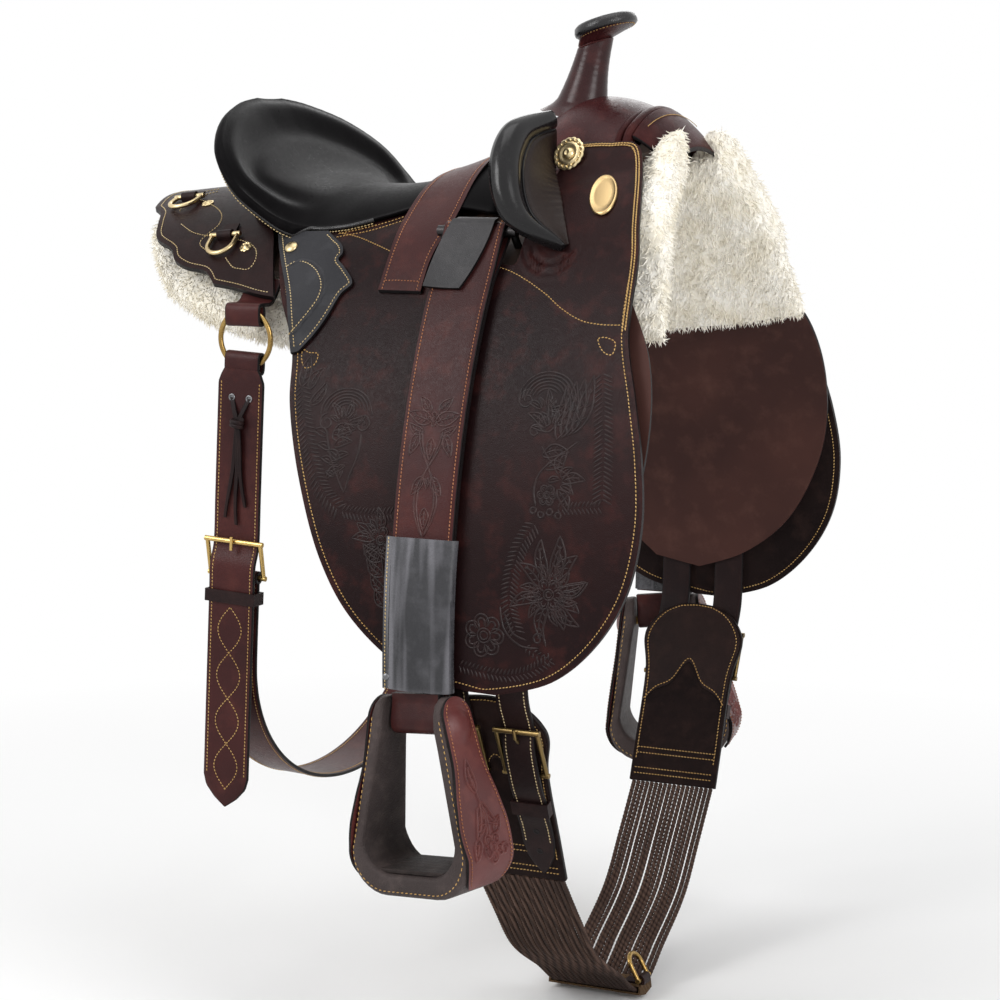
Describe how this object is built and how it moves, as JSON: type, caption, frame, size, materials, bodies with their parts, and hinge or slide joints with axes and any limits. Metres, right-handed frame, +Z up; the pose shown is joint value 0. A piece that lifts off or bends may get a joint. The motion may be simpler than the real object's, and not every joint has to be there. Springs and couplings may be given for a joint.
{
  "type": "australian stock saddle",
  "caption": "Horned stock saddle with padded seat, knee pads, tooled flaps, fleece panels, wrapped stirrups, string girth and rear cinch.",
  "frame": {"origin": "on the line of the horse's back, under the waist of the seat", "axes": "+X forward to the horn, +Y to the near (left) side, +Z up"},
  "size_m": [0.6579, 0.675, 0.969],
  "materials": {
    "tree_wood": "raw lacquered",
    "steel": "plain",
    "horn_leather": "polished black brown",
    "tan_strap_leather": "waxed red brown, tooled",
    "seat_leather": "smooth semi-gloss black",
    "flap_leather": "waxed very dark brown, tooled",
    "sweat_leather": "matt mid brown",
    "fleece": "cream wool fleece",
    "brass": "antique, softly polished",
    "string_cord": "braided cord",
    "charcoal_leather": "smooth charcoal",
    "stirrup_leather_black": "grained black"
  },
  "bodies": {
    "saddle": {"tree": "tree_wood", "gullet_plate": "steel", "stirrup_bar_right": "steel", "stirrup_bar_left": "steel", "horn_neck": "horn_leather", "horn_cap": "horn_leather", "pommel_cover": "tan_strap_leather", "gullet_roll": "tan_strap_leather", "gullet_facing": "tan_strap_leather", "rigging_strap": "tan_strap_leather", "cinch_hangers": "tan_strap_leather", "seat": "seat_leather", "poley_right": "seat_leather", "poley_left": "seat_leather", "corner_patch_right": "seat_leather", "corner_patch_left": "seat_leather", "cantle_back": "flap_leather", "flap_right": "flap_leather", "flap_left": "flap_leather", "rear_skirt": "flap_leather", "billets_right": "flap_leather", "billets_left": "flap_leather", "girth_end_right": "flap_leather", "girth_end_left": "flap_leather", "girth_keepers": "flap_leather", "girth_centre_band": "flap_leather", "dee_chapes": "flap_leather", "sweat_flap_right": "sweat_leather", "sweat_flap_left": "sweat_leather", "panel_right": "fleece", "panel_left": "fleece", "brass_fittings": "brass", "girth_buckles_right": "brass", "girth_buckles_left": "brass", "cinch_rings": "brass", "girth_strings": "string_cord"},
    "stirrup_leather_right": {"stirrup_leather_right": "tan_strap_leather", "leather_sleeve_right": "charcoal_leather", "guard_tab_right": "charcoal_leather"},
    "stirrup_leather_left": {"stirrup_leather_left": "tan_strap_leather", "leather_sleeve_left": "charcoal_leather", "guard_tab_left": "charcoal_leather"},
    "stirrup_right": {"stirrup_frame_right": "stirrup_leather_black", "stirrup_tread_right": "stirrup_leather_black", "stirrup_panels_right": "tan_strap_leather", "stirrup_bolt_right": "brass"},
    "stirrup_left": {"stirrup_frame_left": "stirrup_leather_black", "stirrup_tread_left": "stirrup_leather_black", "stirrup_panels_left": "tan_strap_leather", "stirrup_bolt_left": "brass"},
    "rear_cinch": {"cinch_billet": "tan_strap_leather", "cinch_strap": "tan_strap_leather", "cinch_buckle": "brass", "cinch_keeper": "seat_leather", "cinch_thong": "seat_leather"},
    "saddle_dee_right_rear": {"saddle_dee_right_rear": "brass"},
    "saddle_dee_right_front": {"saddle_dee_right_front": "brass"},
    "saddle_dee_left_rear": {"saddle_dee_left_rear": "brass"},
    "saddle_dee_left_front": {"saddle_dee_left_front": "brass"},
    "girth_dee": {"girth_dee": "brass"}
  },
  "joints": [
    {"name": "leather_lift_right", "type": "hinge", "parent": "saddle", "child": "stirrup_leather_right", "pos_m": [0.1, -0.16948, 0.0141], "axis": [-1, 0, 0], "range_deg": [0, 60]},
    {"name": "leather_lift_left", "type": "hinge", "parent": "saddle", "child": "stirrup_leather_left", "pos_m": [0.1, 0.16948, 0.0141], "axis": [1, 0, 0], "range_deg": [0, 60]},
    {"name": "stirrup_swing_right", "type": "hinge", "parent": "stirrup_leather_right", "child": "stirrup_right", "pos_m": [0.1, -0.28755, -0.424], "axis": [-0.9728, 0.2068, -0.1045], "range_deg": [-8, 60]},
    {"name": "stirrup_swing_left", "type": "hinge", "parent": "stirrup_leather_left", "child": "stirrup_left", "pos_m": [0.1, 0.28755, -0.424], "axis": [0.9728, 0.2068, 0.1045], "range_deg": [-8, 60]},
    {"name": "rear_cinch_swing", "type": "hinge", "parent": "saddle", "child": "rear_cinch", "pos_m": [-0.128, 0, -0.09], "axis": [0, 1, 0], "range_deg": [-15, 15]},
    {"name": "saddle_dee_right_rear_swing", "type": "hinge", "parent": "saddle", "child": "saddle_dee_right_rear", "pos_m": [-0.276, -0.06866, 0.03968], "axis": [-0.9951, 0, -0.099], "range_deg": [0, 110]},
    {"name": "saddle_dee_left_rear_swing", "type": "hinge", "parent": "saddle", "child": "saddle_dee_left_rear", "pos_m": [-0.276, 0.06866, 0.03968], "axis": [0.9951, 0, 0.099], "range_deg": [0, 110]},
    {"name": "saddle_dee_right_front_swing", "type": "hinge", "parent": "saddle", "child": "saddle_dee_right_front", "pos_m": [-0.19, -0.13975, 0.00523], "axis": [-0.9964, 0, -0.0848], "range_deg": [0, 110]},
    {"name": "saddle_dee_left_front_swing", "type": "hinge", "parent": "saddle", "child": "saddle_dee_left_front", "pos_m": [-0.19, 0.13975, 0.00523], "axis": [0.9964, 0, 0.0848], "range_deg": [0, 110]},
    {"name": "girth_dee_swing", "type": "hinge", "parent": "saddle", "child": "girth_dee", "pos_m": [0.199, 0, -0.7322], "axis": [0, 1, 0], "range_deg": [-50, 110]}
  ]
}
